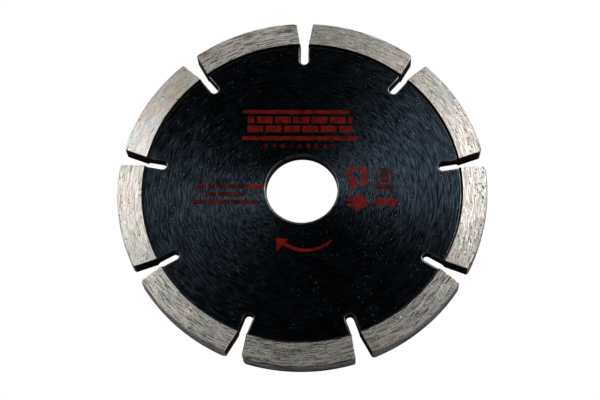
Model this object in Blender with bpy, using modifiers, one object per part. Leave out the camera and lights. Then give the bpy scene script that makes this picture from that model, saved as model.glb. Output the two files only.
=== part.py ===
"""Segmented diamond blade, 115 mm: a slotted steel core with nine thick segments brazed to its rim.

The blade lies flat: +Z is the axis of the bore, and the origin is the centre of the bore, half
way through the core. All sizes are in metres.
"""

import math

import bmesh
import bpy

NAME = "diamond_blade"

# Whole blade
OUTER_DIAMETER = 0.115
BORE_DIAMETER = 0.02223
SEGMENT_COUNT = 9
FIRST_SLOT_ANGLE = math.radians(90.0)

# Steel core
CORE_DIAMETER = 0.0996
CORE_THICKNESS = 0.0036
BORE_CHAMFER = 0.0005
SLOT_WIDTH = 0.0025
SLOT_DEPTH = 0.0064
CORE_STEPS = 144

# Diamond segments
SEGMENT_THICKNESS = 0.0060
SEGMENT_GAP_AT_FOOT = 0.0028
SEGMENT_GAP_AT_RIM = 0.0054
SEGMENT_EDGE_RADIUS = 0.0004
SEGMENT_ARC_STEPS = 20
SEGMENT_EDGE_STEPS = 3

# Braze joints between the core's rim and the feet of the segments
BRAZE_THICKNESS = 0.00014
BRAZE_SETBACK = 0.0001
JOINT_CLEARANCE = 0.00003

# Worked out from the above
OUTER_RADIUS = OUTER_DIAMETER / 2
BORE_RADIUS = BORE_DIAMETER / 2
CORE_RADIUS = CORE_DIAMETER / 2
BRAZE_INNER_RADIUS = CORE_RADIUS + JOINT_CLEARANCE
BRAZE_OUTER_RADIUS = BRAZE_INNER_RADIUS + BRAZE_THICKNESS
FOOT_RADIUS = BRAZE_OUTER_RADIUS + JOINT_CLEARANCE
PITCH_ANGLE = 2 * math.pi / SEGMENT_COUNT
WELD_DISTANCE = 0.00001
SMOOTH_ANGLE = math.radians(30.0)


def clear_scene():
    """Remove every object, so that the file starts empty."""
    for item in list(bpy.data.objects):
        bpy.data.objects.remove(item, do_unlink=True)


def make_collection(name):
    """Return a new collection linked to the scene."""
    collection = bpy.data.collections.new(name)
    bpy.context.scene.collection.children.link(collection)
    return collection


def make_material(name, colour, roughness, metallic):
    """Return a Principled material with a plain colour."""
    material = bpy.data.materials.new(name)
    material.use_nodes = True
    shader = material.node_tree.nodes["Principled BSDF"]
    shader.inputs["Base Color"].default_value = (*colour, 1.0)
    shader.inputs["Roughness"].default_value = roughness
    shader.inputs["Metallic"].default_value = metallic
    return material


def add_object(name, mesh, collection, material=None):
    """Put a mesh in a collection as a named object."""
    item = bpy.data.objects.new(name, mesh)
    collection.objects.link(item)
    if material is not None and not mesh.materials:
        mesh.materials.append(material)
    return item


def polar(radius, angle):
    """Return the point at a radius and an angle in the plane of the blade."""
    return (radius * math.cos(angle), radius * math.sin(angle))


def arc(radius, start, end, steps):
    """Return the points of an arc, with both its ends."""
    return [polar(radius, start + (end - start) * i / steps) for i in range(steps + 1)]


def slab_mesh(name, outline, thickness):
    """Return a closed mesh: a flat outline filled and extruded evenly about the middle plane."""
    curve = bpy.data.curves.new(name, "CURVE")
    curve.dimensions = "2D"
    curve.fill_mode = "BOTH"
    curve.extrude = thickness / 2
    spline = curve.splines.new("POLY")
    spline.points.add(len(outline) - 1)
    for point, (x, y) in zip(spline.points, outline):
        point.co = (x, y, 0.0, 1.0)
    spline.use_cyclic_u = True
    holder = bpy.data.objects.new(name + "_curve", curve)
    bpy.context.scene.collection.objects.link(holder)
    evaluated = holder.evaluated_get(bpy.context.evaluated_depsgraph_get())
    mesh = bpy.data.meshes.new_from_object(evaluated)
    mesh.name = name
    bpy.data.objects.remove(holder, do_unlink=True)
    bpy.data.curves.remove(curve)
    shape = bmesh.new()
    shape.from_mesh(mesh)
    bmesh.ops.remove_doubles(shape, verts=shape.verts, dist=WELD_DISTANCE)
    bmesh.ops.recalc_face_normals(shape, faces=shape.faces)
    shape.to_mesh(mesh)
    shape.free()
    return mesh


def shade(mesh):
    """Shade a mesh smooth, with its real edges left sharp."""
    mesh.shade_smooth()
    mesh.set_sharp_from_angle(angle=SMOOTH_ANGLE)


def sector_outline(inner_radius, outer_radius, inner_gap, outer_gap):
    """Return the outline of one sector, centred on +X, with half a gap left at each of its ends."""
    inner_angle = PITCH_ANGLE / 2 - math.asin(inner_gap / 2 / inner_radius)
    outer_angle = PITCH_ANGLE / 2 - math.asin(outer_gap / 2 / outer_radius)
    outer_arc = arc(outer_radius, -outer_angle, outer_angle, SEGMENT_ARC_STEPS)
    inner_arc = arc(inner_radius, inner_angle, -inner_angle, SEGMENT_ARC_STEPS)
    return outer_arc + inner_arc


def round_outer_edges(mesh):
    """Round the edges of a segment that grind: those along its rim and at its two rim corners."""
    shape = bmesh.new()
    shape.from_mesh(mesh)
    rim = OUTER_RADIUS - WELD_DISTANCE
    edges = []
    for edge in shape.edges:
        on_rim = all(math.hypot(vert.co.x, vert.co.y) > rim for vert in edge.verts)
        if on_rim and edge.calc_face_angle() > SMOOTH_ANGLE:
            edges.append(edge)
    bmesh.ops.bevel(
        shape,
        geom=edges,
        offset=SEGMENT_EDGE_RADIUS,
        segments=SEGMENT_EDGE_STEPS,
        profile=0.5,
        affect="EDGES",
    )
    shape.to_mesh(mesh)
    shape.free()


def make_core_blank(collection, material):
    """Turn the round blank of the core, with its bore chamfered on both faces."""
    half = CORE_THICKNESS / 2
    profile = [
        (CORE_RADIUS, half),
        (CORE_RADIUS, -half),
        (BORE_RADIUS + BORE_CHAMFER, -half),
        (BORE_RADIUS, -half + BORE_CHAMFER),
        (BORE_RADIUS, half - BORE_CHAMFER),
        (BORE_RADIUS + BORE_CHAMFER, half),
    ]
    shape = bmesh.new()
    verts = [shape.verts.new((radius, 0.0, height)) for radius, height in profile]
    for i, vert in enumerate(verts):
        shape.edges.new((vert, verts[(i + 1) % len(verts)]))
    mesh = bpy.data.meshes.new("steel_core")
    shape.to_mesh(mesh)
    shape.free()
    core = add_object("steel_core", mesh, collection, material)
    turn = core.modifiers.new("turn", "SCREW")
    turn.axis = "Z"
    turn.angle = 2 * math.pi
    turn.steps = CORE_STEPS
    turn.render_steps = CORE_STEPS
    turn.use_merge_vertices = True
    turn.merge_threshold = WELD_DISTANCE
    return core


def slot_outline():
    """Return the outline of a slot cutter along +X: parallel sides, a round inner end, and a
    square outer end past the rim."""
    radius = SLOT_WIDTH / 2
    centre = CORE_RADIUS - SLOT_DEPTH + radius
    past_rim = CORE_RADIUS + SLOT_WIDTH
    end = arc(radius, math.pi / 2, 3 * math.pi / 2, 12)
    round_end = [(centre + x, y) for x, y in end]
    return [(past_rim, -radius), (past_rim, radius)] + round_end


def cut_slots(core, collection):
    """Cut the cooling slots into the rim of the core."""
    mesh = slab_mesh("slot_cutter", slot_outline(), 2 * CORE_THICKNESS)
    for index in range(SEGMENT_COUNT):
        cutter = add_object(f"slot_cutter_{index + 1}", mesh, collection)
        cutter.rotation_euler.z = FIRST_SLOT_ANGLE + index * PITCH_ANGLE
        cutter.hide_render = True
        cutter.display_type = "WIRE"
        cut = core.modifiers.new(f"slot_{index + 1}", "BOOLEAN")
        cut.operation = "DIFFERENCE"
        cut.solver = "EXACT"
        cut.object = cutter


def place_round_the_rim(name, mesh, collection, material, parent):
    """Place one copy of a sector in each space between two slots, as objects of their own."""
    for index in range(SEGMENT_COUNT):
        item = add_object(f"{name}_{index + 1}", mesh, collection, material)
        item.parent = parent
        item.rotation_euler.z = FIRST_SLOT_ANGLE + (index + 0.5) * PITCH_ANGLE


def make_segments(collection, material, parent):
    """Make the nine diamond segments, thicker than the core and standing proud of both faces."""
    outline = sector_outline(
        FOOT_RADIUS, OUTER_RADIUS, SEGMENT_GAP_AT_FOOT, SEGMENT_GAP_AT_RIM
    )
    mesh = slab_mesh("segment", outline, SEGMENT_THICKNESS)
    round_outer_edges(mesh)
    shade(mesh)
    place_round_the_rim("segment", mesh, collection, material, parent)


def make_braze_joints(collection, material, parent):
    """Make the nine strips of filler metal that hold the segments to the core."""
    outline = sector_outline(
        BRAZE_INNER_RADIUS, BRAZE_OUTER_RADIUS, SEGMENT_GAP_AT_FOOT, SEGMENT_GAP_AT_FOOT
    )
    mesh = slab_mesh("braze_joint", outline, CORE_THICKNESS - 2 * BRAZE_SETBACK)
    shade(mesh)
    place_round_the_rim("braze_joint", mesh, collection, material, parent)


def build():
    """Build the whole blade."""
    clear_scene()
    parts = make_collection(NAME)
    cutters = make_collection("cutters")
    black_paint = make_material("core_black_paint", (0.012, 0.013, 0.015), 0.3, 0.0)
    ground_metal = make_material("segment_ground_metal", (0.42, 0.40, 0.37), 0.5, 1.0)
    filler_metal = make_material("braze_filler_metal", (0.55, 0.47, 0.30), 0.45, 1.0)
    axis = bpy.data.objects.new("bore_axis", None)
    parts.objects.link(axis)
    core = make_core_blank(parts, black_paint)
    core.parent = axis
    cut_slots(core, cutters)
    make_segments(parts, ground_metal, axis)
    make_braze_joints(parts, filler_metal, axis)
    bpy.context.view_layer.update()


build()
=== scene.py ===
"""The looks of a segmented diamond blade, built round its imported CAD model.

Lengths are in metres, in the frame of the CAD: the blade lies flat, and +Z is the bore's axis.
"""

import math
import random

import bmesh
import bpy
import numpy as np
from mathutils import Matrix, Vector


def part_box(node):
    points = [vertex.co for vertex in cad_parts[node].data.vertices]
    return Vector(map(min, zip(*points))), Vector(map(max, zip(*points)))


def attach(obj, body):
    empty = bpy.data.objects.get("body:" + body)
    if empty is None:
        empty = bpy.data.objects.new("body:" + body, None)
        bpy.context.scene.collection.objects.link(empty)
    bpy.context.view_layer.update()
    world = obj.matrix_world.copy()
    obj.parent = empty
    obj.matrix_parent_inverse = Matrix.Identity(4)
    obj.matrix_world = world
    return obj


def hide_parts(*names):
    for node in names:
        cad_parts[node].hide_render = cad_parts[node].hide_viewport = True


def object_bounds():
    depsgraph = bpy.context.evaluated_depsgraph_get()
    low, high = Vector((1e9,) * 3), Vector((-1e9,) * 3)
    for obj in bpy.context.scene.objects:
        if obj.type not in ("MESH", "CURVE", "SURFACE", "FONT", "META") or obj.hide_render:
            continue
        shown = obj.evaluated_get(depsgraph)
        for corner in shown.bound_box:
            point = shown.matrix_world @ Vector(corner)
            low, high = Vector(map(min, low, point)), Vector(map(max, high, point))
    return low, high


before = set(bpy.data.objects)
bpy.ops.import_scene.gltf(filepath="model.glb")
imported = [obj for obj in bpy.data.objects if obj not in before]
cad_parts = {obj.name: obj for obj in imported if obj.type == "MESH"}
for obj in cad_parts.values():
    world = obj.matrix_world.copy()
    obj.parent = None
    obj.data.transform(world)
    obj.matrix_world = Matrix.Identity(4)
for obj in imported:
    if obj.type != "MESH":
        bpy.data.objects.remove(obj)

CAD_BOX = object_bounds()
BODY = "root"
MM = 0.001


def radii(node):
    """Return the smallest and largest distance of a CAD node's points from the bore's axis."""
    reach = [math.hypot(v.co.x, v.co.y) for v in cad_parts[node].data.vertices]
    return min(reach), max(reach)


# Read from the CAD model
BORE_RADIUS, CORE_RADIUS = radii("steel_core")
FOOT_RADIUS, OUTER_RADIUS = radii("segment_1")
HALF_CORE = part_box("steel_core")[1][2]
HALF_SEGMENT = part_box("segment_1")[1][2]
COUNT = sum(name.startswith("segment_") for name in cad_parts)
PITCH = 2 * math.pi / COUNT
FIRST_SLOT = math.radians(90.0)

# The CAD model's slots and gaps, repeated
SLOT_WIDTH = 2.5 * MM
SLOT_DEPTH = 6.4 * MM
GAP_AT_FOOT = 2.8 * MM
GAP_AT_RIM = 5.4 * MM

# The core's rounded edges, which the CAD model has plainer or sharp
SLOT_EDGE_RADIUS = 0.55 * MM
BORE_EDGE_DEPTH = 0.5 * MM
BORE_EDGE_WIDTH = 0.65 * MM

# The worn edges of a segment, and how far in from them its cheeks stay free of relief
SEGMENT_RIM_RADIUS = 0.55 * MM
SEGMENT_END_RADIUS = 0.12 * MM
RELIEF_MARGIN_FOOT = 0.3 * MM
RELIEF_MARGIN_RIM = 0.7 * MM
RELIEF_MARGIN_END = 0.4 * MM

# Relief of a segment's cheeks: pits, and the waves left by grinding. The span is an angle in
# radians, and the lean is a slope.
PIT_COUNT = 46
PIT_HALF_SPAN = 0.32
PIT_SIZES = (0.18 * MM, 0.42 * MM)
PIT_STRETCH = 1.3
PIT_DEPTH = 0.07 * MM
PIT_SHARPNESS = 1.6
WAVE_COUNT = 12
WAVE_PITCHES = (0.5 * MM, 1.4 * MM)
WAVE_LEAN = 0.03
WAVE_HEIGHT = 0.0015 * MM

# Fillets of the braze joints, and how far they stand off the surfaces that they touch
BEAD_LEG = 0.35 * MM
BEAD_STANDOFF = 0.01 * MM
BEAD_WAVES = 5

# Thickness of the printed marks
INK_THICKNESS = 0.02 * MM

# How finely the meshes are divided, and how near two points have to be to count as one
RIM_STEPS = 40
SLOT_END_STEPS = 16
EDGE_STEPS = 6
BORE_STEPS = 180
SEGMENT_CORNER_REACH = 1.6 * MM
SEGMENT_CORNER_STEPS = 7
SEGMENT_EDGE_STEPS = 5
SEGMENT_LENGTH_STEP = 0.32 * MM
SEGMENT_HEIGHT_STEP = 0.24 * MM
SEGMENT_THICKNESS_STEP = 0.45 * MM
BEAD_LENGTH_POINTS = 61
BEAD_FILLET_POINTS = 6
OVAL_POINTS = 28
ARROW_POINTS = 26
WELD_DISTANCE = 0.001 * MM
FLATNESS = 0.0001 * MM

# Places of the materials in the lists that the core and the segments take
CORE_FACE, CORE_EDGE, CORE_WALL = 0, 1, 2
CHEEK, RIM, WALL = 0, 1, 2

# How squarely a segment's face has to look up or down, or outward, to count as cheek or as rim
CHEEK_FACING = 0.4
RIM_FACING = 0.5

# Seeds of the random draws
SEGMENT_SEED = 7
RULE_SEED = 4

# Each segment's tone, share of pits and darkness of streaks, and the radii of its rim corners.
# The tone is partly the segment's own and partly painted light: it was set for each place round
# the blade, so the upper left segments are lighter and the lowest one is darker than the lights
# make them.
SEGMENT_LOOKS = [
    (1.52, 0.3, 0.90, (0.9 * MM, 0.5 * MM)),
    (1.41, 0.3, 0.30, (0.5 * MM, 0.7 * MM)),
    (0.98, 0.7, 0.40, (0.5 * MM, 0.8 * MM)),
    (1.12, 0.25, 0.88, (0.8 * MM, 0.9 * MM)),
    (0.91, 0.5, 1.00, (1.5 * MM, 0.6 * MM)),
    (1.06, 0.25, 0.90, (1.0 * MM, 0.8 * MM)),
    (0.96, 1.0, 0.35, (0.7 * MM, 1.2 * MM)),
    (0.92, 0.9, 0.55, (1.0 * MM, 0.6 * MM)),
    (1.00, 0.3, 0.55, (1.2 * MM, 0.5 * MM)),
]

# Floor, which reaches the horizon, and the gap between it and the blade
FLOOR_HALF_SIZE = 60.0
FLOOR_GAP = 0.02 * MM

# Camera: its direction, its tilt about the line of sight, its distance in metres and its lens
CAMERA_AZIMUTH = math.radians(5.61)
CAMERA_ELEVATION = math.radians(68.33)
CAMERA_ROLL = math.radians(-4.89)
CAMERA_DISTANCE = 0.4586
CAMERA_LENS = 88.26
CAMERA_AIM = Vector((-0.57 * MM, -3.03 * MM, 0.0))


def polar(radius, angle, height=0.0):
    """Return a point from its distance to the axis, its angle and its height."""
    return Vector((radius * math.cos(angle), radius * math.sin(angle), height))


def slot_angle(index):
    """Return the angle of a slot."""
    return FIRST_SLOT + index * PITCH


# Meshes


def finish_piece(name, shape, materials, smooth=True, sharp_angle=35.0):
    """Turn a bmesh into a piece of the object, riding on the body."""
    bmesh.ops.recalc_face_normals(shape, faces=shape.faces)
    for face in shape.faces:
        face.smooth = smooth
    for edge in shape.edges:
        if edge.calc_face_angle(0.0) > math.radians(sharp_angle):
            edge.smooth = False
    mesh = bpy.data.meshes.new(name)
    shape.to_mesh(mesh)
    shape.free()
    for material in materials:
        mesh.materials.append(material)
    piece = bpy.data.objects.new(name, mesh)
    bpy.context.scene.collection.objects.link(piece)
    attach(piece, BODY)
    return piece


def ring_of_verts(shape, points):
    """Add a row of points to a bmesh."""
    return [shape.verts.new(point) for point in points]


def bridge(shape, lower, upper, material=0):
    """Join two closed rows of equally many points with quads."""
    count = len(lower)
    for i in range(count):
        j = (i + 1) % count
        face = shape.faces.new((lower[i], lower[j], upper[j], upper[i]))
        face.material_index = material


def core_outline(inset, height):
    """Return the core's outline drawn in by inset, anticlockwise: a slot, a tooth, and so on."""
    half_width = SLOT_WIDTH / 2 + inset
    radius = CORE_RADIUS - inset
    centre = CORE_RADIUS - SLOT_DEPTH + SLOT_WIDTH / 2
    mouth = math.sqrt(radius**2 - half_width**2)
    end = [
        (centre - half_width * math.sin(t), -half_width * math.cos(t))
        for t in np.linspace(0.0, math.pi, SLOT_END_STEPS + 1)
    ]
    slot = [(mouth, -half_width)] + end + [(mouth, half_width)]
    corner = math.asin(half_width / radius)
    points = []
    for index in range(COUNT):
        turn = Matrix.Rotation(slot_angle(index), 4, "Z")
        points += [turn @ Vector((x, y, height)) for x, y in slot]
        start = slot_angle(index) + corner
        stop = slot_angle(index + 1) - corner
        for t in np.linspace(start, stop, RIM_STEPS + 1)[1:-1]:
            points.append(polar(radius, t, height))
    return points


def quarter_round(radius, steps):
    """Return (inset, drop) pairs for a rounded edge, from its wall up to its flat face."""
    turns = np.linspace(0.0, math.pi / 2, steps + 1)
    return [(radius * (1 - math.cos(t)), radius * (1 - math.sin(t))) for t in turns]


def core_face(shape, outline, bore):
    """Fill one face of the core, and keep its shading flat right up to the rounded edges."""
    edges = []
    for loop in (outline, bore):
        for i, vert in enumerate(loop):
            edges.append(shape.edges.get((vert, loop[(i + 1) % len(loop)])))
    filled = bmesh.ops.triangle_fill(shape, edges=edges, use_beauty=True)
    for face in filled["geom"]:
        if isinstance(face, bmesh.types.BMFace):
            for edge in face.edges:
                edge.smooth = False


def make_core(face, edge, wall):
    """Make the steel core, with the edges of its slots, rim and bore rounded."""
    shape = bmesh.new()
    rounding = quarter_round(SLOT_EDGE_RADIUS, EDGE_STEPS)
    levels = [(inset, -(HALF_CORE - drop)) for inset, drop in reversed(rounding)]
    levels += [(inset, HALF_CORE - drop) for inset, drop in rounding]
    rows = [ring_of_verts(shape, core_outline(inset, z)) for inset, z in levels]
    for number, (lower, upper) in enumerate(zip(rows, rows[1:])):
        bridge(shape, lower, upper, material=CORE_WALL if number == EDGE_STEPS else CORE_EDGE)
    turns = np.linspace(0.0, math.pi / 2, EDGE_STEPS + 1)
    bore_edge = [
        (BORE_EDGE_WIDTH * (1 - math.sin(t)), BORE_EDGE_DEPTH * (1 - math.cos(t))) for t in turns
    ]
    bore_levels = [(out, -(HALF_CORE - drop)) for out, drop in bore_edge]
    bore_levels += [(out, HALF_CORE - drop) for out, drop in reversed(bore_edge)]
    turns = np.linspace(0.0, 2 * math.pi, BORE_STEPS, endpoint=False)
    bore = [
        ring_of_verts(shape, [polar(BORE_RADIUS + out, t, z) for t in turns])
        for out, z in bore_levels
    ]
    middle = len(bore) // 2 - 1
    for number, (lower, upper) in enumerate(zip(bore, bore[1:])):
        bridge(shape, lower, upper, material=CORE_WALL if number == middle else CORE_EDGE)
    core_face(shape, rows[0], bore[0])
    core_face(shape, rows[-1], bore[-1])
    core = finish_piece("core_plate", shape, [face, edge, wall])
    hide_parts("steel_core")


def end_angle(radius):
    """Return half the angle that a segment spans at a distance from the axis."""
    share = (radius - FOOT_RADIUS) / (OUTER_RADIUS - FOOT_RADIUS)
    gap = GAP_AT_FOOT + (GAP_AT_RIM - GAP_AT_FOOT) * share
    return PITCH / 2 - math.asin(gap / 2 / radius)


def spread(length, edge, fine, coarse):
    """Return positions from 0 to length: fine steps within edge of each end, coarse between."""
    near = np.linspace(0.0, edge, fine + 1)
    middle = np.linspace(edge, length - edge, max(2, round((length - 2 * edge) / coarse)) + 1)
    return np.concatenate([near[:-1], middle, (length - near[:-1])[::-1]])


def round_corner(a, b, reach_a, reach_b, radius):
    """Round the corner where a nears reach_a and b nears reach_b, by a radius."""
    over_a = np.maximum(a - (reach_a - radius), 0.0)
    over_b = np.maximum(b - (reach_b - radius), 0.0)
    longest = np.maximum(over_a, over_b)
    length = np.hypot(over_a, over_b)
    scale = longest / np.where(length > 0, length, 1.0)
    both = (over_a > 0) & (over_b > 0)
    new_a = np.where(both, (reach_a - radius) + over_a * scale, a)
    new_b = np.where(both, (reach_b - radius) + over_b * scale, b)
    return new_a, new_b


def box_grid(xs, ys, zs):
    """Return the points and quads of a box whose sides are divided at the given positions."""
    index, points, quads = {}, [], []

    def vert(key):
        if key not in index:
            i, j, k = key
            index[key] = len(points)
            points.append((xs[i], ys[j], zs[k]))
        return index[key]

    def quad(*keys):
        quads.append([vert(key) for key in keys])

    nx, ny, nz = len(xs) - 1, len(ys) - 1, len(zs) - 1
    for i in range(nx):
        for j in range(ny):
            for k in (0, nz):
                quad((i, j, k), (i + 1, j, k), (i + 1, j + 1, k), (i, j + 1, k))
    for i in range(nx):
        for k in range(nz):
            for j in (0, ny):
                quad((i, j, k), (i + 1, j, k), (i + 1, j, k + 1), (i, j, k + 1))
    for j in range(ny):
        for k in range(nz):
            for i in (0, nx):
                quad((i, j, k), (i, j + 1, k), (i, j + 1, k + 1), (i, j, k + 1))
    return np.array(points), quads


def segment_shape(seed, corners):
    """Return the points and quads of one segment centred on +X, with ground, pitted cheeks.

    corners are the radii to which its two rim corners have worn, clockwise end first.
    """
    rng = np.random.default_rng(seed)
    height = OUTER_RADIUS - FOOT_RADIUS
    half_length = end_angle(FOOT_RADIUS) * (FOOT_RADIUS + height / 2)
    length, thickness = 2 * half_length, 2 * HALF_SEGMENT
    xs = spread(length, SEGMENT_CORNER_REACH, SEGMENT_CORNER_STEPS, SEGMENT_LENGTH_STEP)
    ys = spread(height, SEGMENT_RIM_RADIUS, SEGMENT_EDGE_STEPS, SEGMENT_HEIGHT_STEP)
    zs = spread(thickness, SEGMENT_RIM_RADIUS, SEGMENT_EDGE_STEPS, SEGMENT_THICKNESS_STEP)
    points, quads = box_grid(xs - half_length, ys, zs - HALF_SEGMENT)
    x, y, z = points.T
    on_cheek = np.abs(z) > HALF_SEGMENT - FLATNESS
    side_x, side_z = np.sign(x), np.sign(z)
    ax, az = np.abs(x), np.abs(z)
    y, az = round_corner(y, az, height, HALF_SEGMENT, SEGMENT_RIM_RADIUS)
    worn = np.where(x < 0, *corners)
    ax, y = round_corner(ax, y, half_length, height, worn)
    ax, az = round_corner(ax, az, half_length, HALF_SEGMENT, SEGMENT_END_RADIUS)
    radius = FOOT_RADIUS + y
    angle = side_x * ax / half_length * np.array([end_angle(r) for r in radius])
    flat_x, flat_y = radius * np.cos(angle), radius * np.sin(angle)
    z = side_z * az
    inner = on_cheek & (y > RELIEF_MARGIN_FOOT) & (y < height - RELIEF_MARGIN_RIM)
    inner &= ax < half_length - RELIEF_MARGIN_END
    z = z - side_z * inner * cheek_relief(radius, angle, rng)
    return np.stack([flat_x, flat_y, z], axis=1), quads


def cheek_relief(radius, angle, rng):
    """Return how far a cheek's surface lies below its plane: shallow pits and grinding waves."""
    along = angle * OUTER_RADIUS
    depth = np.zeros_like(radius)
    for _ in range(PIT_COUNT):
        at = rng.uniform(-PIT_HALF_SPAN, PIT_HALF_SPAN) * OUTER_RADIUS
        out = rng.uniform(FOOT_RADIUS, OUTER_RADIUS)
        size = rng.uniform(*PIT_SIZES)
        gap = np.hypot((along - at) / PIT_STRETCH, radius - out) / size
        depth += PIT_DEPTH * rng.uniform(0.5, 1.0) * np.exp(-(gap**2) * PIT_SHARPNESS)
    for _ in range(WAVE_COUNT):
        pitch = rng.uniform(*WAVE_PITCHES)
        phase = rng.uniform(0, 2 * math.pi)
        lean = rng.uniform(-WAVE_LEAN, WAVE_LEAN)
        turns = (radius + lean * along) / pitch
        depth += WAVE_HEIGHT * (1 + np.sin(2 * math.pi * turns + phase))
    return depth


def make_segment(index, name, materials, corners):
    """Make one diamond segment in place of its CAD node."""
    points, quads = segment_shape(index + SEGMENT_SEED, corners)
    turn = slot_angle(index) + PITCH / 2
    cosine, sine = math.cos(turn), math.sin(turn)
    x, y, z = points.T
    placed = np.stack([cosine * x - sine * y, sine * x + cosine * y, z], axis=1)
    mesh = bpy.data.meshes.new(name + "_body")
    mesh.from_pydata(placed.tolist(), [], quads)
    shape = bmesh.new()
    shape.from_mesh(mesh)
    bpy.data.meshes.remove(mesh)
    bmesh.ops.recalc_face_normals(shape, faces=shape.faces)
    for face in shape.faces:
        middle = face.calc_center_median()
        outward = Vector((middle.x, middle.y, 0)).normalized()
        if abs(face.normal.z) > CHEEK_FACING:
            face.material_index = CHEEK
        elif face.normal.dot(outward) > RIM_FACING:
            face.material_index = RIM
        else:
            face.material_index = WALL
    piece = finish_piece(name + "_body", shape, materials, sharp_angle=50.0)
    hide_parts(name)


def make_bead(index, name, material):
    """Make one braze joint: the film under a segment's foot, with a wavy fillet on each face."""
    shape = bmesh.new()
    half_angle = PITCH / 2 - math.asin(SLOT_WIDTH / 2 / CORE_RADIUS)
    middle = slot_angle(index) + PITCH / 2
    rng = random.Random(index)
    waves = []
    for _ in range(BEAD_WAVES):
        frequency = rng.uniform(20, 90)
        phase = rng.uniform(0, 6.28)
        height = rng.uniform(0.03, 0.08)
        waves.append((frequency, phase, height))
    film = FOOT_RADIUS - CORE_RADIUS - BEAD_STANDOFF
    face = HALF_CORE + BEAD_STANDOFF
    rows = []
    for t in np.linspace(-half_angle, half_angle, BEAD_LENGTH_POINTS):
        leg = BEAD_LEG * (1 + sum(a * math.sin(f * t + p) for f, p, a in waves))
        profile = [(CORE_RADIUS + BEAD_STANDOFF, face)]
        for turn in np.linspace(0.0, math.pi / 2, BEAD_FILLET_POINTS):
            out = CORE_RADIUS - leg + (leg + film) * math.sin(turn)
            profile.append((out, face + leg * (1 - math.cos(turn))))
        profile += [(r, -z) for r, z in reversed(profile)]
        rows.append(ring_of_verts(shape, [polar(r, middle + t, z) for r, z in profile]))
    for lower, upper in zip(rows, rows[1:]):
        bridge(shape, lower, upper)
    shape.faces.new(rows[0])
    shape.faces.new(rows[-1])
    piece = finish_piece(name + "_bead", shape, [material])
    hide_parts(name)


# Printed marks


def rectangle(x0, y0, x1, y1):
    """Return a rectangle's corners."""
    return [(x0, y0), (x1, y0), (x1, y1), (x0, y1)]


def oval(x, y, half_width, half_height):
    """Return an oval's points."""
    turns = np.linspace(0.0, 2 * math.pi, OVAL_POINTS, endpoint=False)
    return [(x + half_width * math.cos(t), y + half_height * math.sin(t)) for t in turns]


def moved(outline, x, y):
    """Return an outline moved by x and y."""
    return [(x + px, y + py) for px, py in outline]


def make_print(name, outlines, material):
    """Make a printed mark from outlines in millimetres: one inside another is a hole."""
    curve = bpy.data.curves.new(name, "CURVE")
    curve.dimensions = "2D"
    curve.fill_mode = "BOTH"
    curve.extrude = INK_THICKNESS / 2
    for outline in outlines:
        spline = curve.splines.new("POLY")
        spline.points.add(len(outline) - 1)
        for point, (x, y) in zip(spline.points, outline):
            point.co = (x * MM, y * MM, 0.0, 1.0)
        spline.use_cyclic_u = True
    holder = bpy.data.objects.new(name, curve)
    bpy.context.scene.collection.objects.link(holder)
    evaluated = holder.evaluated_get(bpy.context.evaluated_depsgraph_get())
    mesh = bpy.data.meshes.new_from_object(evaluated)
    shape = bmesh.new()
    shape.from_mesh(mesh)
    bpy.data.objects.remove(holder, do_unlink=True)
    bpy.data.curves.remove(curve)
    bpy.data.meshes.remove(mesh)
    bmesh.ops.remove_doubles(shape, verts=shape.verts, dist=WELD_DISTANCE)
    bmesh.ops.translate(shape, verts=shape.verts, vec=(0, 0, HALF_CORE + INK_THICKNESS / 2))
    piece = finish_piece(name, shape, [material], smooth=False)


def brick_band():
    """Return a plain brick-bond band between two rules."""
    left, right = -19.2, 17.2
    upper_rule = rectangle(left, 25.7, right - 2.6, 27.0)
    lower_rule = rectangle(left, 16.5, right, 17.9)
    outlines = [upper_rule, lower_rule]
    bottom, course, joint, brick, shortest = 19.3, 2.3, 0.8, 5.0, 1.0
    first, last = left + 1.6, right - 1.6
    for row in range(2):
        y = bottom + row * (course + joint)
        x = first - row * (brick + joint) / 2
        while x < last:
            start, stop = max(x, first), min(x + brick, last)
            if stop - start > shortest:
                outlines.append(rectangle(start, y, stop, y + course))
            x += brick + joint
    return outlines


def diamond_row():
    """Return a row of small rhombi."""
    half, y = 0.95, 14.5
    places = np.linspace(-11.6, 9.8, 9)
    return [[(x - half, y), (x, y - half), (x + half, y), (x, y + half)] for x in places]


def rule_lines():
    """Return three rows of dashes of uneven length."""
    rng = random.Random(RULE_SEED)
    height, gap, shortest = 1.5, 0.35, 0.6
    outlines = []
    for left, right, y in ((-32.6, -17.7, 0.0), (-30.0, -18.2, -2.7), (-34.2, -13.2, -5.3)):
        x = left
        while x < right - shortest:
            length = min(rng.uniform(2.0, 5.5), right - x)
            outlines.append(rectangle(x, y, x + length, y + height))
            x += length + gap
    return outlines


def rotation_arrow():
    """Return an arrow that bends the way the blade turns, with a tail that narrows."""
    x, y, radius = 1.5, -9.4, 10.9
    turns = np.linspace(math.radians(-43), math.radians(-126), ARROW_POINTS)
    widths = np.linspace(0.25, 0.65, ARROW_POINTS)
    outer, inner = [], []
    for t, width in zip(turns, widths):
        outer.append((x + (radius + width) * math.cos(t), y + (radius + width) * math.sin(t)))
        inner.append((x + (radius - width) * math.cos(t), y + (radius - width) * math.sin(t)))
    head = [(-7.7, -16.4), (-3.9, -16.6), (-7.3, -20.8)]
    return [outer + inner[::-1], head]


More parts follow.
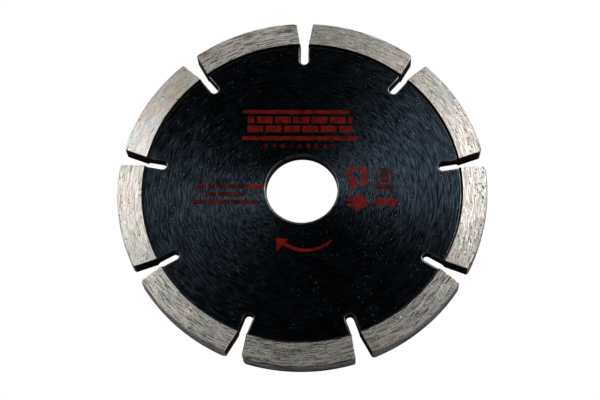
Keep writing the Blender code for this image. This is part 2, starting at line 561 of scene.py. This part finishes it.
def signs():
    """Return small plain signs: a hood over a plain oval, a glove and a pair of ovals."""
    hood = [
        (-3.7, 1.5), (-2.2, 3.4), (-0.4, 3.8), (1.2, 3.7), (2.6, 3.3), (3.4, 1.6),
        (3.5, -0.6), (3.0, -2.4), (2.2, -3.0), (1.5, -1.6), (1.4, 1.2), (0.9, 2.7),
        (-0.6, 2.9), (-1.6, 1.9), (-2.3, 0.2), (-3.0, -0.6),
    ]
    glove = [
        (-3.2, 1.3), (-2.4, 2.0), (1.8, 2.4), (3.0, 1.2), (3.1, -0.9), (2.0, -1.9),
        (0.6, -2.2), (0.2, -3.0), (-0.6, -3.1), (-0.8, -1.7), (-2.9, -1.4), (-3.3, -0.5),
        (-0.7, -0.1), (-0.7, 0.3), (-3.2, 0.5),
    ]
    return [
        moved(hood, 17.0, 3.8),
        oval(16.0, 2.2, 1.3, 2.1),
        moved(glove, 17.3, -4.4),
        oval(24.2, -4.2, 1.7, 1.45),
        oval(27.8, -4.2, 1.7, 1.45),
    ]


def faint_sign():
    """Return a small plain sign: a post on a wide foot, between two thin bars."""
    return [
        rectangle(22.6, 0.0, 28.8, 1.7),
        rectangle(24.5, 2.1, 26.9, 7.2),
        rectangle(23.0, 2.1, 23.6, 6.0),
        rectangle(27.8, 2.1, 28.4, 6.4),
    ]


# Materials


class Graph:
    """A material's node tree, with short calls for the nodes used here."""

    def __init__(self, name):
        self.material = bpy.data.materials.new(name)
        self.material.use_nodes = True
        self.tree = self.material.node_tree
        self.shader = self.tree.nodes["Principled BSDF"]

    def put(self, socket, value):
        """Set a socket to a number, a colour or another socket."""
        if isinstance(value, bpy.types.NodeSocket):
            self.tree.links.new(value, socket)
        elif isinstance(value, tuple) and len(value) == 3 and socket.type == "RGBA":
            socket.default_value = (*value, 1.0)
        else:
            socket.default_value = value

    def node(self, kind, settings=(), **inputs):
        """Add a node: settings are its properties, and inputs its sockets by name."""
        node = self.tree.nodes.new(kind)
        for key, value in dict(settings).items():
            setattr(node, key, value)
        for key, value in inputs.items():
            self.put(node.inputs[key.replace("_", " ")], value)
        return node

    def math(self, operation, *values):
        """Return the result of a Math node."""
        node = self.node("ShaderNodeMath", {"operation": operation})
        for socket, value in zip(node.inputs, values):
            self.put(socket, value)
        return node.outputs[0]

    def vector(self, operation, *values):
        """Return the result of a Vector Math node."""
        node = self.node("ShaderNodeVectorMath", {"operation": operation})
        for socket, value in zip(node.inputs, values):
            self.put(socket, value)
        return node.outputs["Value" if operation == "LENGTH" else "Vector"]

    def combine(self, x, y, z):
        """Return a vector from three numbers."""
        return self.node("ShaderNodeCombineXYZ", X=x, Y=y, Z=z).outputs[0]

    def noise(self, vector, scale=1.0, detail=2.0, roughness=0.5):
        """Return a noise value about 0.5."""
        node = self.node(
            "ShaderNodeTexNoise", Vector=vector, Scale=scale, Detail=detail, Roughness=roughness
        )
        return node.outputs["Fac"]

    def remap(self, value, low, high, to_low=0.0, to_high=1.0):
        """Return a value taken smoothly from one range to another, and held there."""
        node = self.node("ShaderNodeMapRange", {"interpolation_type": "SMOOTHSTEP"})
        for name, number in (
            ("Value", value),
            ("From Min", low),
            ("From Max", high),
            ("To Min", to_low),
            ("To Max", to_high),
        ):
            self.put(node.inputs[name], number)
        return node.outputs[0]

    def mix(self, factor, first, second):
        """Return a mix of two colours, which are the node's inputs 6 and 7 and its output 2."""
        node = self.node("ShaderNodeMix", {"data_type": "RGBA"})
        self.put(node.inputs["Factor"], factor)
        self.put(node.inputs[6], first)
        self.put(node.inputs[7], second)
        return node.outputs[2]

    def weigh(self, *pairs):
        """Return the sum of values, each times its weight."""
        terms = [self.math("MULTIPLY", value, weight) for value, weight in pairs]
        total = terms[0]
        for term in terms[1:]:
            total = self.math("ADD", total, term)
        return total

    def bump(self, height, distance):
        """Return a normal bent by a height, of which one unit is a distance in metres."""
        return self.node("ShaderNodeBump", Height=height, Distance=distance).outputs[0]

    def set(self, **inputs):
        """Set sockets of the shader by name."""
        for key, value in inputs.items():
            self.put(self.shader.inputs[key.replace("_", " ")], value)


class BladeGraph(Graph):
    """A material whose pattern runs round the axis of the bore."""

    # Size of the noise that makes streaks wander, in repeats per metre
    drift_scale = 210.0
    # The part of the core's radius at which a streak has the length that was asked for
    mean_outward = 0.8
    # How many streak widths make one unit of noise space
    squeeze = 1.2
    # The direction in noise space that the distance from the axis follows
    skew = (0.37, 0.61, 1.0)
    # Distance between cells that hold specks, as a multiple of a speck's size
    speck_pitch = 2.4

    def __init__(self, name):
        super().__init__(name)
        self.place = self.node("ShaderNodeTexCoord").outputs["Object"]
        split = self.node("ShaderNodeSeparateXYZ", Vector=self.place)
        self.height = split.outputs[2]
        flat = self.combine(split.outputs[0], split.outputs[1], 0.0)
        self.radius = self.vector("LENGTH", flat)
        self.outward = self.vector("NORMALIZE", flat)

    def brushed(self, streaks, lean):
        """Return the direction across the brush marks, which lean this way and that."""
        along = self.vector("CROSS_PRODUCT", (0.0, 0.0, 1.0), self.outward)
        shift = self.math("MULTIPLY", self.math("SUBTRACT", streaks, 0.5), lean)
        turned = self.vector("ADD", self.outward, self.scaled(along, shift))
        return self.vector("NORMALIZE", turned)

    def scaled(self, vector, factor):
        """Return a vector times a number."""
        node = self.node("ShaderNodeVectorMath", {"operation": "SCALE"})
        self.put(node.inputs[0], vector)
        self.put(node.inputs["Scale"], factor)
        return node.outputs["Vector"]

    def around(self, length, width, wander=0.0, level=None):
        """Return coordinates drawn out round the axis: length by width, in metres, is one unit."""
        across = self.radius if level is None else level
        if wander:
            drift = self.math("SUBTRACT", self.noise(self.place, self.drift_scale, 1.0), 0.5)
            across = self.math("ADD", across, self.math("MULTIPLY", drift, wander))
        turns = self.scaled(self.outward, CORE_RADIUS * self.mean_outward / length)
        steps = self.math("DIVIDE", across, self.squeeze * width)
        return self.vector("ADD", turns, self.scaled(self.skew, steps))

    def streaks(self, length, width, wander=0.0, level=None, detail=2.0):
        """Return noise drawn out round the axis: streaks of a length and width in metres."""
        return self.noise(self.around(length, width, wander, level), 1.0, detail)

    def specks(self, length, width, share, ragged=0.9):
        """Return 1 in scattered ragged specks of a length and width in metres, 0 elsewhere."""
        wobble = self.node("ShaderNodeTexNoise", Vector=self.place, Scale=0.8 / width, Detail=1.0)
        shift = self.vector("SUBTRACT", wobble.outputs["Color"], (0.5, 0.5, 0.5))
        place = self.around(self.speck_pitch * length, self.speck_pitch * width)
        vector = self.vector("ADD", place, self.scaled(shift, ragged))
        cells = self.node("ShaderNodeTexVoronoi", Vector=vector, Scale=1.0)
        kind = self.node("ShaderNodeSeparateColor", Color=cells.outputs["Color"])
        chosen = self.math("GREATER_THAN", self.math("ADD", kind.outputs[0], share), 1.0)
        inside = self.remap(cells.outputs["Distance"], 0.22, 0.33, 1.0, 0.0)
        return self.math("MULTIPLY", inside, chosen)

    def patches(self, scale, least, most):
        """Return a share that is least in some places and most in others."""
        return self.remap(self.noise(self.place, scale, 1.0), 0.40, 0.62, least, most)


def brushed_paint():
    """Black satin paint over a core that was brushed round and round.

    It reflects as little as paint does: the metallic setting only lets the colour say how much.
    """
    g = BladeGraph("brushed_black_paint")
    dark_paint, bright_paint = (0.0025, 0.0038, 0.0052), (0.028, 0.038, 0.050)
    dust_colour = (0.17, 0.18, 0.175)
    marks = g.streaks(3.1 * MM, 0.12 * MM, wander=0.4 * MM, detail=1.0)
    turned = g.streaks(2.7 * MM, 0.20 * MM, wander=0.4 * MM)
    patch = g.noise(g.place, scale=260.0)
    unevenness = g.math("MULTIPLY", g.math("SUBTRACT", patch, 0.5), 0.12)
    lines = g.math("ADD", marks, unevenness)
    shine = g.mix(g.remap(lines, 0.44, 0.66), dark_paint, bright_paint)
    dust = g.specks(0.16 * MM, 0.16 * MM, g.patches(60.0, 0.0, 0.05), ragged=0.5)
    g.set(
        Base_Color=g.mix(dust, shine, dust_colour),
        Metallic=g.math("SUBTRACT", 1.0, dust),
        Roughness=g.remap(patch, 0.35, 0.65, 0.34, 0.40),
        Anisotropic=0.85,
        Tangent=g.brushed(turned, lean=1.3),
        Normal=g.bump(marks, 0.004 * MM),
    )
    return g.material


def edge_paint():
    """Black paint, smooth and glossy where it runs over the edges of slots and bore."""
    g = BladeGraph("edge_black_paint")
    dark_paint, bright_paint = (0.0015, 0.0018, 0.002), (0.008, 0.009, 0.01)
    ripple = g.noise(g.place, scale=420.0)
    grain = g.noise(g.place, scale=1800.0)
    g.set(
        Base_Color=g.mix(g.remap(grain, 0.45, 0.7), dark_paint, bright_paint),
        Roughness=g.remap(ripple, 0.35, 0.65, 0.26, 0.44),
        Specular_IOR_Level=1.0,
        Normal=g.bump(g.weigh((ripple, 1.0), (grain, 0.3)), 0.05 * MM),
    )
    return g.material


def wall_paint():
    """Black paint in the slots, in the bore and on the ends of segments: thicker and dead matt."""
    g = BladeGraph("wall_black_paint")
    dark_paint, bright_paint = (0.0015, 0.0016, 0.0017), (0.004, 0.004, 0.0045)
    grain = g.noise(g.place, scale=2600.0, detail=3.0)
    cloud = g.noise(g.place, scale=300.0)
    g.set(
        Base_Color=g.mix(g.remap(cloud, 0.35, 0.7), dark_paint, bright_paint),
        Roughness=g.remap(grain, 0.3, 0.7, 0.55, 0.7),
        Specular_IOR_Level=0.12,
        Normal=g.bump(grain, 0.012 * MM),
    )
    return g.material


def toned(tone, colour):
    """Return a colour made lighter or darker, within what a surface can reflect."""
    return tuple(min(1.0, tone * part) for part in colour)


def ground_bond(name, tone, wear, low_streak_darkness):
    """A segment's cheek: metal bond ground along the rim, with pits where grit has broken out."""
    g = BladeGraph(name)
    light = g.streaks(2.2 * MM, 0.25 * MM, wander=0.8 * MM, detail=3.0)
    dark = g.streaks(2.8 * MM, 0.22 * MM, wander=1.0 * MM, detail=3.0)
    coarse = g.streaks(8.0 * MM, 1.2 * MM, wander=0.6 * MM)
    grain = g.noise(g.place, scale=1700.0, detail=3.0, roughness=0.6)
    tint = g.noise(g.place, scale=170.0)
    stain = g.noise(g.place, scale=110.0, detail=3.0)
    # The cheek's colours are scaled by the segment's tone, which is partly painted light
    greenish = toned(tone, (0.605, 0.60, 0.53))
    pinkish = toned(tone, (0.645, 0.575, 0.54))
    brown_stain = toned(tone, (0.55, 0.44, 0.33))
    blue_stain = toned(tone, (0.48, 0.53, 0.56))
    polished = toned(1.5 * tone, (0.62, 0.61, 0.57))
    low_streak_colour, pit_shade_colour = (0.08, 0.075, 0.065), (0.04, 0.035, 0.03)
    colour = g.mix(g.remap(tint, 0.40, 0.60), greenish, pinkish)
    colour = g.mix(g.remap(stain, 0.56, 0.68, 0.0, 0.6), colour, brown_stain)
    colour = g.mix(g.remap(stain, 0.44, 0.34, 0.0, 0.5), colour, blue_stain)
    shade = g.weigh((dark, 0.6), (grain, 0.25), (coarse, 0.15))
    # Darker colour along the low streaks, where the bump sinks, by a share set for each segment
    colour = g.mix(g.remap(shade, 0.53, 0.44, 0.0, low_streak_darkness), colour, low_streak_colour)
    colour = g.mix(g.remap(light, 0.52, 0.66, 0.0, 0.6), colour, polished)
    pits = g.specks(0.36 * MM, 0.26 * MM, g.patches(150.0, 0.12 * wear, 0.75 * wear))
    scars = g.specks(1.2 * MM, 0.20 * MM, 0.08)
    broken = g.math("MAXIMUM", pits, scars)
    # Painted shade: the pits and scars, which the bump sinks, are darkened as if in their own
    # shadow
    colour = g.mix(g.math("MULTIPLY", broken, 0.92), colour, pit_shade_colour)
    height = g.weigh((dark, 0.9), (grain, 0.4), (broken, -0.7))
    g.set(
        Base_Color=colour,
        Metallic=0.85,
        Roughness=g.remap(light, 0.38, 0.64, 0.60, 0.44),
        Anisotropic=0.75,
        Tangent=g.brushed(light, lean=0.75),
        Normal=g.bump(height, 0.05 * MM),
    )
    return g.material


def rim_bond():
    """The grinding face of a segment: dark, rough metal bond with scratches along it."""
    g = BladeGraph("dark_rim_bond")
    dark_metal, bright_metal = (0.14, 0.155, 0.165), (0.78, 0.81, 0.82)
    scratches = g.streaks(4.0 * MM, 0.6 * MM, level=g.height)
    grain = g.noise(g.place, scale=1500.0, detail=3.0, roughness=0.6)
    mottle = g.weigh((scratches, 0.6), (grain, 0.4))
    g.set(
        Base_Color=g.mix(g.remap(mottle, 0.40, 0.60), dark_metal, bright_metal),
        Metallic=0.7,
        Roughness=g.remap(grain, 0.3, 0.7, 0.5, 0.65),
        Normal=g.bump(mottle, 0.06 * MM),
    )
    return g.material


def printing_ink(name, colour, faded, missing):
    """Red ink printed over the brushed paint, worn thin along the brush marks.

    missing says how much of the ink has gone, from 0 for the least.
    """
    g = BladeGraph(name)
    bare_paint = (0.004, 0.003, 0.003)
    marks = g.streaks(2.0 * MM, 0.30 * MM, wander=1.6 * MM)
    turned = g.streaks(3.2 * MM, 0.42 * MM, wander=1.9 * MM)
    cloud = g.noise(g.place, scale=420.0, detail=3.0)
    shade = g.mix(g.remap(cloud, 0.36, 0.62), colour, faded)
    worn = g.weigh((marks, 0.5), (cloud, 0.5))
    shade = g.mix(g.remap(worn, 0.62 - missing, 0.68 - missing), shade, bare_paint)
    g.set(
        Base_Color=shade,
        Roughness=g.remap(marks, 0.42, 0.62, 0.50, 0.32),
        Specular_IOR_Level=0.05,
        Anisotropic=0.85,
        Tangent=g.brushed(turned, lean=3.0),
        Normal=g.bump(marks, 0.02 * MM),
    )
    return g.material


# Floor, lights and camera


def make_floor():
    """Make a large, pale floor: white to the camera, and plain grey to the light it takes."""
    shape = bmesh.new()
    bmesh.ops.create_grid(shape, x_segments=1, y_segments=1, size=FLOOR_HALF_SIZE)
    mesh = bpy.data.meshes.new("floor")
    shape.to_mesh(mesh)
    shape.free()
    floor = bpy.data.objects.new("floor", mesh)
    floor.location.z = CAD_BOX[0][2] - FLOOR_GAP
    material = bpy.data.materials.new("pale_floor")
    material.use_nodes = True
    tree = material.node_tree
    shader = tree.nodes["Principled BSDF"]
    shader.inputs["Base Color"].default_value = (0.45, 0.45, 0.45, 1.0)
    shader.inputs["Roughness"].default_value = 0.9
    shader.inputs["Specular IOR Level"].default_value = 0.0
    glow = tree.nodes.new("ShaderNodeEmission")
    path = tree.nodes.new("ShaderNodeLightPath")
    mix = tree.nodes.new("ShaderNodeMixShader")
    tree.links.new(path.outputs["Is Camera Ray"], mix.inputs[0])
    tree.links.new(shader.outputs[0], mix.inputs[1])
    tree.links.new(glow.outputs[0], mix.inputs[2])
    tree.links.new(mix.outputs[0], tree.nodes["Material Output"].inputs["Surface"])
    mesh.materials.append(material)
    bpy.context.scene.collection.objects.link(floor)


def area_light(name, place, size, power):
    """Add a soft oval light that points at the middle of the blade."""
    data = bpy.data.lights.new(name, "AREA")
    data.shape = "ELLIPSE"
    data.size, data.size_y = size
    data.energy = power
    light = bpy.data.objects.new(name, data)
    light.location = place
    light.rotation_euler = (-Vector(place)).to_track_quat("-Z", "Y").to_euler()
    bpy.context.scene.collection.objects.link(light)


def make_lights():
    """Light the blade from both sides and a little from behind, in a room that is dim above.

    The room's light is at its strongest near the horizon and fades out overhead.
    """
    area_light("left_softbox", (-0.82, 0.38, 0.67), (0.5, 0.5), 4.5)
    area_light("right_softbox", (0.435, 0.53, 0.88), (0.5, 0.5), 6.8)
    area_light("back_softbox", (0.0, 0.36, 0.32), (0.3, 0.15), 0.035)
    world = bpy.data.worlds.new("studio")
    world.use_nodes = True
    tree = world.node_tree
    background = tree.nodes["Background"]
    place = tree.nodes.new("ShaderNodeTexCoord")
    split = tree.nodes.new("ShaderNodeSeparateXYZ")
    fade = tree.nodes.new("ShaderNodeMapRange")
    tree.links.new(place.outputs["Generated"], split.inputs[0])
    tree.links.new(split.outputs[2], fade.inputs["Value"])
    tree.links.new(fade.outputs[0], background.inputs["Strength"])
    fade.inputs["From Min"].default_value = 0.05
    fade.inputs["From Max"].default_value = 0.35
    fade.inputs["To Min"].default_value = 1.2
    fade.inputs["To Max"].default_value = 0.02
    bpy.context.scene.world = world
    bpy.context.scene.view_settings.view_transform = "Standard"


def make_camera():
    """Look down on the blade from the front, a little to the right, with the camera tipped."""
    back = Vector(
        (
            math.sin(CAMERA_AZIMUTH) * math.cos(CAMERA_ELEVATION),
            -math.cos(CAMERA_AZIMUTH) * math.cos(CAMERA_ELEVATION),
            math.sin(CAMERA_ELEVATION),
        )
    )
    data = bpy.data.cameras.new("camera")
    data.lens = CAMERA_LENS
    data.clip_start, data.clip_end = 0.01, 200.0
    camera = bpy.data.objects.new("camera", data)
    camera.location = CAMERA_AIM + back * CAMERA_DISTANCE
    level = (-back).to_track_quat("-Z", "Y").to_matrix()
    camera.rotation_euler = (level @ Matrix.Rotation(CAMERA_ROLL, 3, "Z")).to_euler()
    bpy.context.scene.collection.objects.link(camera)
    bpy.context.scene.camera = camera


def build():
    """Build the blade and its setting."""
    make_camera()
    black_walls = wall_paint()
    make_core(brushed_paint(), edge_paint(), black_walls)
    rim = rim_bond()
    for index, (tone, wear, low_streak_darkness, corners) in enumerate(SEGMENT_LOOKS):
        cheek = ground_bond(f"ground_bond_{index + 1}", tone, wear, low_streak_darkness)
        make_segment(index, f"segment_{index + 1}", [cheek, rim, black_walls], corners)
        make_bead(index, f"braze_joint_{index + 1}", black_walls)
    bright = printing_ink("bright_red_ink", (0.205, 0.008, 0.004), (0.11, 0.006, 0.005), 0.02)
    band = printing_ink("red_ink", (0.150, 0.008, 0.005), (0.085, 0.006, 0.005), 0.03)
    thin = printing_ink("thin_red_ink", (0.080, 0.005, 0.005), (0.032, 0.004, 0.004), 0.08)
    make_print("print_brick_band", brick_band(), band)
    make_print("print_diamond_row", diamond_row(), thin)
    make_print("print_rule_lines", rule_lines(), thin)
    make_print("print_rotation_arrow", rotation_arrow(), bright)
    make_print("print_signs", signs(), bright)
    make_print("print_rule_end", [rectangle(-17.4, 0.0, -11.9, 1.5)], band)
    make_print("print_faint_sign", faint_sign(), thin)
    make_floor()
    make_lights()


build()
